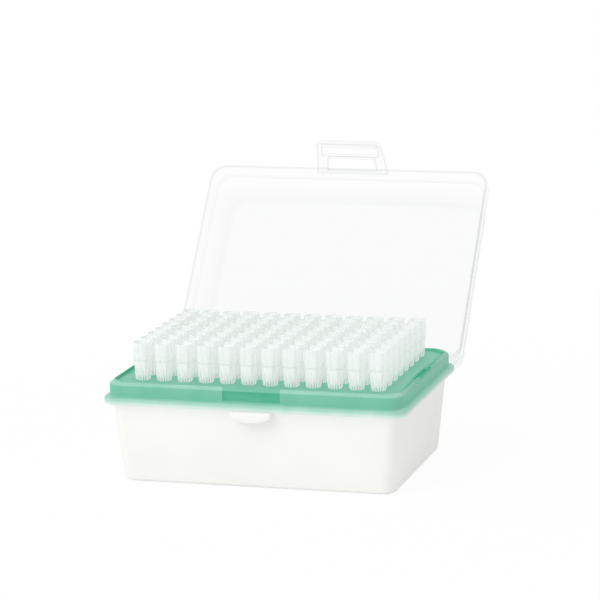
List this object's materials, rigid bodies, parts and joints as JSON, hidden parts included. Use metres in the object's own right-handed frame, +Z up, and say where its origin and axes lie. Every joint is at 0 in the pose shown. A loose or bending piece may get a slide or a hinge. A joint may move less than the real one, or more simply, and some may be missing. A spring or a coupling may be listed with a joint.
{
  "type": "box of pipette tips",
  "caption": "Hinged plastic box that holds pipette tips upright in a perforated deck, with a clear lid that swings back and a sprung front latch.",
  "frame": {"origin": "middle of the underside of the base, on the surface that the box stands on", "axes": "+X to the right along the rows of twelve tips, +Y to the back where the lid is hinged, +Z up"},
  "size_m": [0.1266, 0.171, 0.119],
  "materials": {
    "base_white": "white moulded polypropylene, fine satin, very slightly milky",
    "deck_green": "translucent sea-green polypropylene, satin gloss",
    "tip_frosted": "natural polypropylene, translucent and slightly milky",
    "lid_clear": "clear polypropylene, glossy, faintly hazy",
    "latch_clear": "clear polypropylene, glossy"
  },
  "bodies": {
    "box": {"base": "base_white", "deck": "deck_green", "tip_a01": "tip_frosted", "tip_a02": "tip_frosted", "tip_a03": "tip_frosted", "tip_a04": "tip_frosted", "tip_a05": "tip_frosted", "tip_a06": "tip_frosted", "tip_a07": "tip_frosted", "tip_a08": "tip_frosted", "tip_a09": "tip_frosted", "tip_a10": "tip_frosted", "tip_a11": "tip_frosted", "tip_a12": "tip_frosted", "tip_b01": "tip_frosted", "tip_b02": "tip_frosted", "tip_b03": "tip_frosted", "tip_b04": "tip_frosted", "tip_b05": "tip_frosted", "tip_b06": "tip_frosted", "tip_b07": "tip_frosted", "tip_b08": "tip_frosted", "tip_b09": "tip_frosted", "tip_b10": "tip_frosted", "tip_b11": "tip_frosted", "tip_b12": "tip_frosted", "tip_c01": "tip_frosted", "tip_c02": "tip_frosted", "tip_c03": "tip_frosted", "tip_c04": "tip_frosted", "tip_c05": "tip_frosted", "tip_c06": "tip_frosted", "tip_c07": "tip_frosted", "tip_c08": "tip_frosted", "tip_c09": "tip_frosted", "tip_c10": "tip_frosted", "tip_c11": "tip_frosted", "tip_c12": "tip_frosted", "tip_d01": "tip_frosted", "tip_d02": "tip_frosted", "tip_d03": "tip_frosted", "tip_d04": "tip_frosted", "tip_d05": "tip_frosted", "tip_d06": "tip_frosted", "tip_d07": "tip_frosted", "tip_d08": "tip_frosted", "tip_d09": "tip_frosted", "tip_d10": "tip_frosted", "tip_d11": "tip_frosted", "tip_d12": "tip_frosted"},
    "lid": {"lid": "lid_clear"},
    "latch": {"latch": "latch_clear"}
  },
  "joints": [
    {"name": "lid_hinge", "type": "hinge", "parent": "box", "child": "lid", "pos_m": [0, 0.0486, 0.0344], "axis": [1, 0, 0], "range_deg": [0, 129.5]},
    {"name": "latch_hinge", "type": "hinge", "parent": "lid", "child": "latch", "pos_m": [0, 0.11524, 0.10313], "axis": [1, 0, 0], "range_deg": [0, 26], "stiffness_Nm_per_rad": 0.01}
  ]
}
